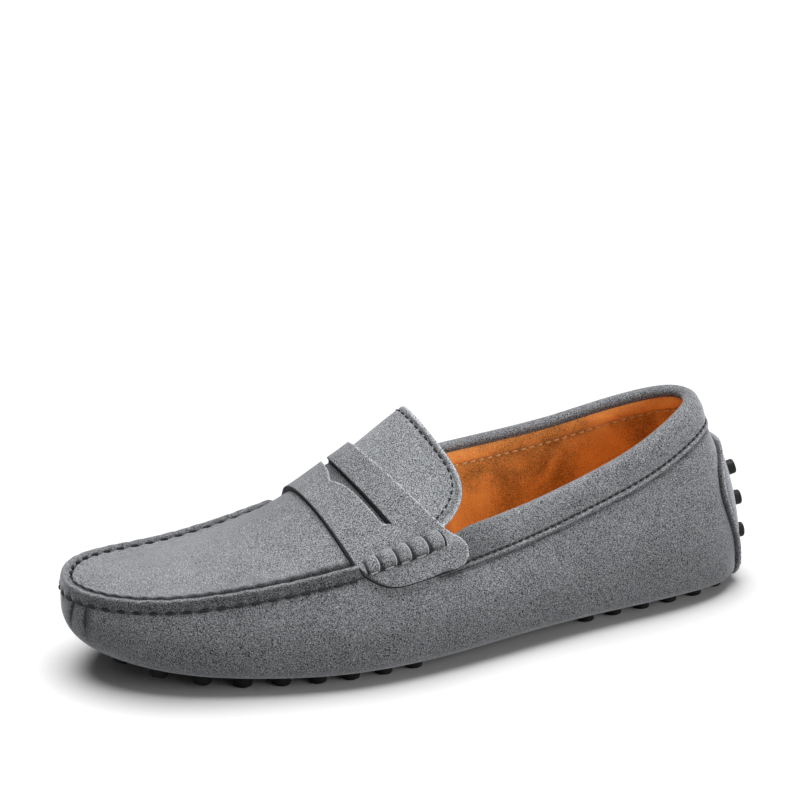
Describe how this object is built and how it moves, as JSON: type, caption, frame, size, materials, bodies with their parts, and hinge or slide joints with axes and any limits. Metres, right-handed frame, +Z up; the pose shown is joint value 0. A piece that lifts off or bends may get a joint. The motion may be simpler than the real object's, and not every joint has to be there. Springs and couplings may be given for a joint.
{
  "type": "suede driving loafer",
  "caption": "Left suede driving loafer with a raised apron seam, slotted penny strap, rolled collar, heel patch and a rubber nub sole.",
  "frame": {"origin": "middle of the bounding box on the floor, at the ends of the nubs", "axes": "+X to the toe, +Y to the outer side of the foot, +Z up"},
  "size_m": [0.2832, 0.0996, 0.086],
  "materials": {
    "suede": "matt napped suede",
    "lining": "matt tan lining",
    "rubber": "matt black"
  },
  "bodies": {
    "root": {"upper": "suede", "tongue": "suede", "strap": "suede", "roll_outer": "suede", "roll_inner": "suede", "collar_band": "suede", "heel_patch": "suede", "heel_nub_1": "rubber", "heel_nub_2": "rubber", "heel_nub_3": "rubber", "heel_nub_4": "rubber", "heel_nub_5": "rubber", "heel_nub_6": "rubber", "sole": "rubber", "insole": "lining"}
  },
  "joints": []
}
